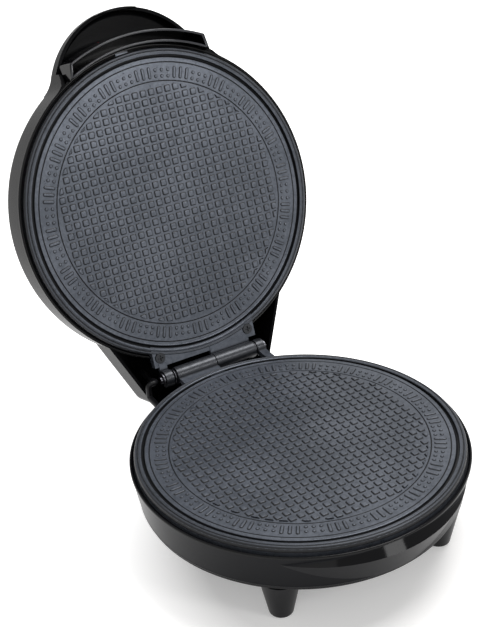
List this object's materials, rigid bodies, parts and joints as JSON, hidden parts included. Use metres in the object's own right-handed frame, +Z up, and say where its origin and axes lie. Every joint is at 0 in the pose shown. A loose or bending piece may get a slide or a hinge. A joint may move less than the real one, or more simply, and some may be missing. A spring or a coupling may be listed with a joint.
{
  "type": "waffle cone maker",
  "caption": "Round electric waffle cone maker with a hinged lid standing open, grooved non-stick baking plates, a hooded front handle and tapered feet.",
  "frame": {"origin": "on the counter, straight below the centre of the lower baking plate", "axes": "+Z up, -Y towards the front handle, +Y towards the hinge, +X to the right seen from the front"},
  "size_m": [0.208, 0.3286, 0.2776],
  "materials": {
    "housing_black": "satin",
    "nonstick_grey": "satin non-stick coating",
    "element_steel": "heat-darkened",
    "strap_zinc": "zinc plated",
    "screw_steel": "satin",
    "shield_aluminised": "bright",
    "cover_black": "satin",
    "foot_black": "satin",
    "gland_rubber": "matte",
    "block_white": "matte",
    "thermostat_tan": "matte",
    "fuse_steel": "satin",
    "lead_sleeving": "matte",
    "pin_steel": "satin",
    "sleeve_black": "satin",
    "lid_black": "semi-gloss",
    "liner_black": "gloss",
    "lens_red": "gloss",
    "lens_green": "gloss",
    "lamp_glass": "clear"
  },
  "bodies": {
    "base": {"base_housing": "housing_black", "lower_plate": "nonstick_grey", "lower_heating_element": "element_steel", "lower_element_straps": "strap_zinc", "lower_strap_screws": "screw_steel", "lower_heat_shield": "shield_aluminised", "bottom_cover": "cover_black", "foot_screws": "screw_steel", "front_left_foot": "foot_black", "front_right_foot": "foot_black", "rear_left_foot": "foot_black", "rear_right_foot": "foot_black", "lower_plate_screws": "screw_steel", "cord_gland": "gland_rubber", "terminal_block": "block_white", "thermostat": "thermostat_tan", "thermal_fuse": "fuse_steel", "fuse_clip": "strap_zinc", "base_leads": "lead_sleeving", "hinge_pin": "pin_steel", "hinge_clip": "pin_steel", "base_wire_sleeve": "sleeve_black"},
    "lid": {"lid_shell": "lid_black", "handle_liner": "liner_black", "upper_plate": "nonstick_grey", "upper_heating_element": "element_steel", "upper_element_straps": "strap_zinc", "upper_strap_screws": "screw_steel", "upper_heat_shield": "shield_aluminised", "hinge_tab_screws": "screw_steel", "power_lens": "lens_red", "ready_lens": "lens_green", "power_lamp": "lamp_glass", "ready_lamp": "lamp_glass", "lid_wire_sleeve": "sleeve_black"}
  },
  "joints": [
    {"name": "lid_hinge", "type": "hinge", "parent": "base", "child": "lid", "pos_m": [0, 0.111, 0.0566], "axis": [1, 0, 0], "range_deg": [0, 109]}
  ]
}
